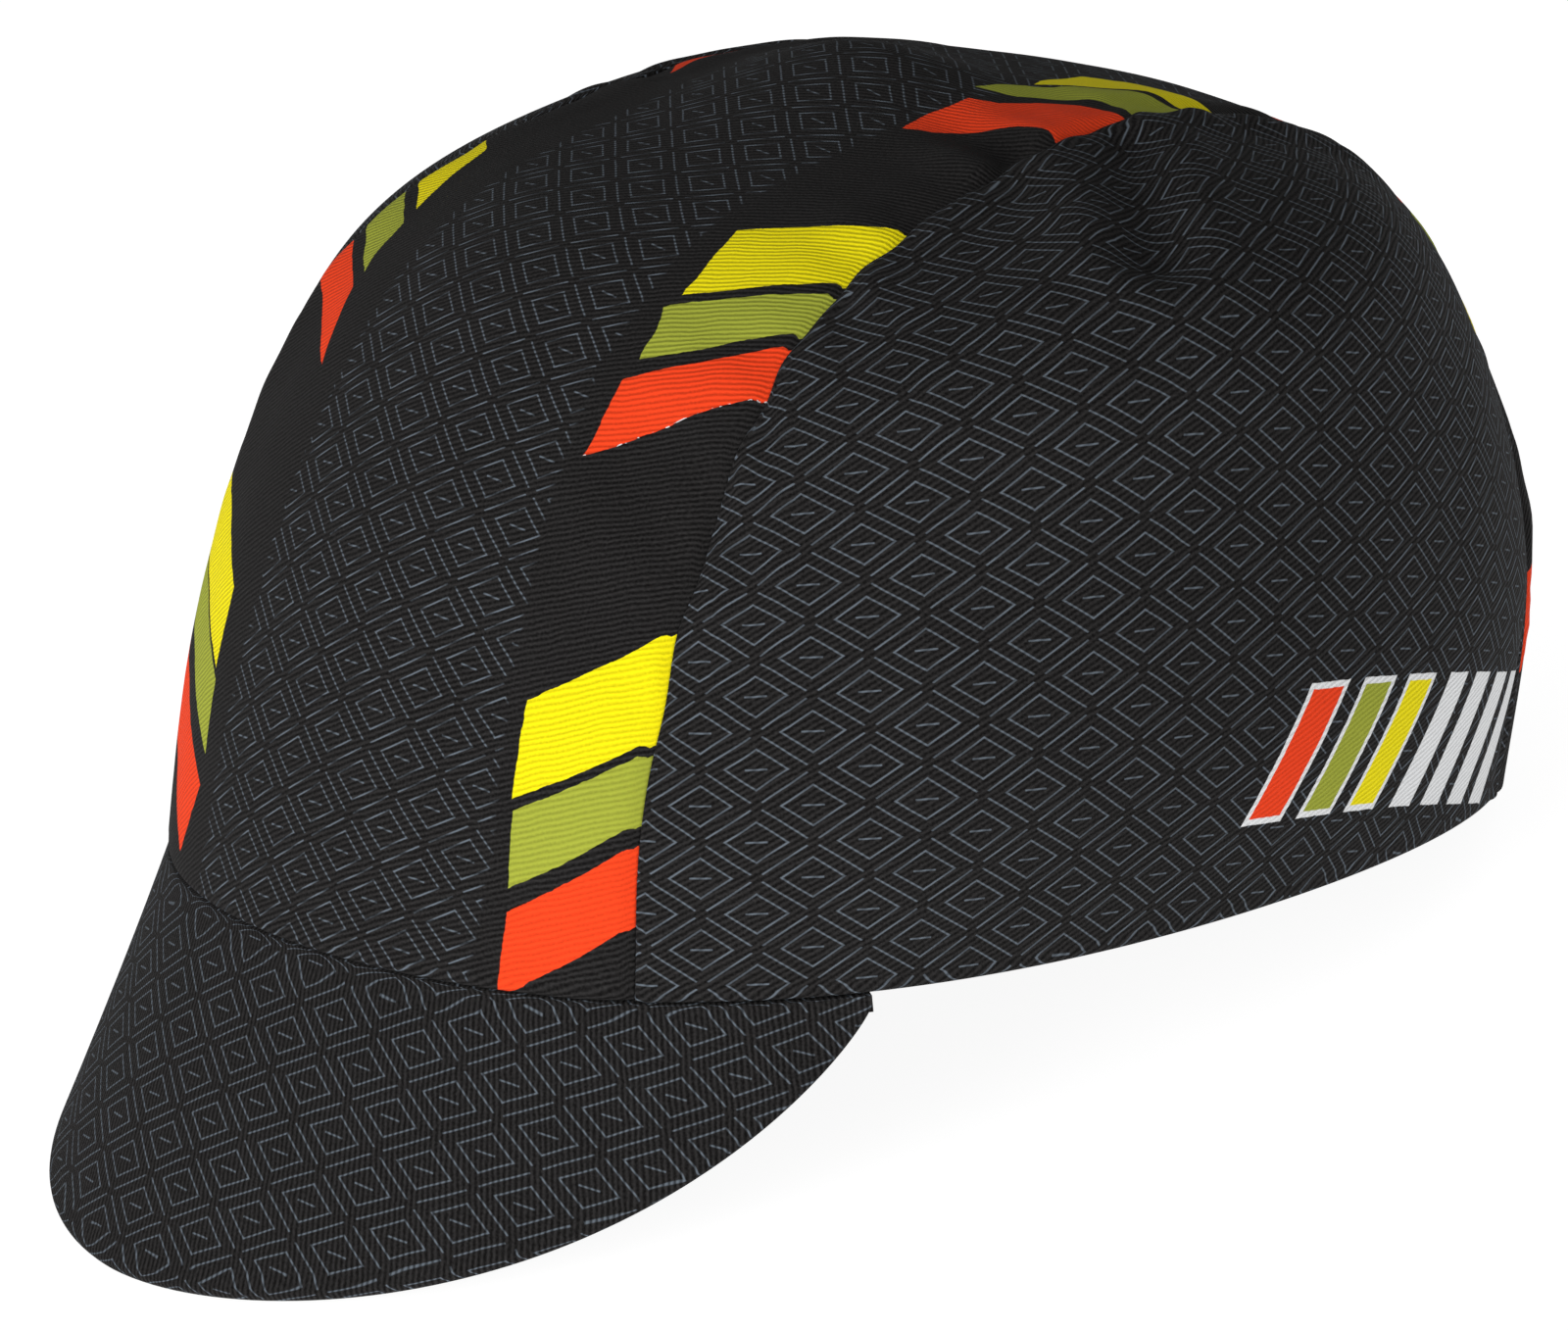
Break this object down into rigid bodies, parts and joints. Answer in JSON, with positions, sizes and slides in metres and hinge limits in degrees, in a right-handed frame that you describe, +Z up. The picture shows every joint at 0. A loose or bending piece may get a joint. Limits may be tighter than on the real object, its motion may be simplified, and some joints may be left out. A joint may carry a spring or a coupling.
{
  "type": "cycling cap",
  "caption": "Soft cotton cycling cap with a centre panel between side panels and a short turned-down peak, lying on its peak tip and rear edge.",
  "frame": {"origin": "on the surface, under the middle of the cap's bounding box", "axes": "+Z up, -Y to the tip of the peak, +X to the wearer's left"},
  "size_m": [0.1812, 0.243, 0.1302],
  "materials": {
    "centre_cloth": "black cotton twill with slanted yellow, olive and red bars and a fine blue-grey line print",
    "side_cloth": "black cotton twill with a fine blue-grey line print",
    "peak_cloth": "black cotton twill over a stiff core, with a fine blue-grey line print"
  },
  "bodies": {
    "root": {"crown_centre_panel": "centre_cloth", "crown_side_panel_left": "side_cloth", "crown_side_panel_right": "side_cloth", "peak": "peak_cloth"}
  },
  "joints": []
}
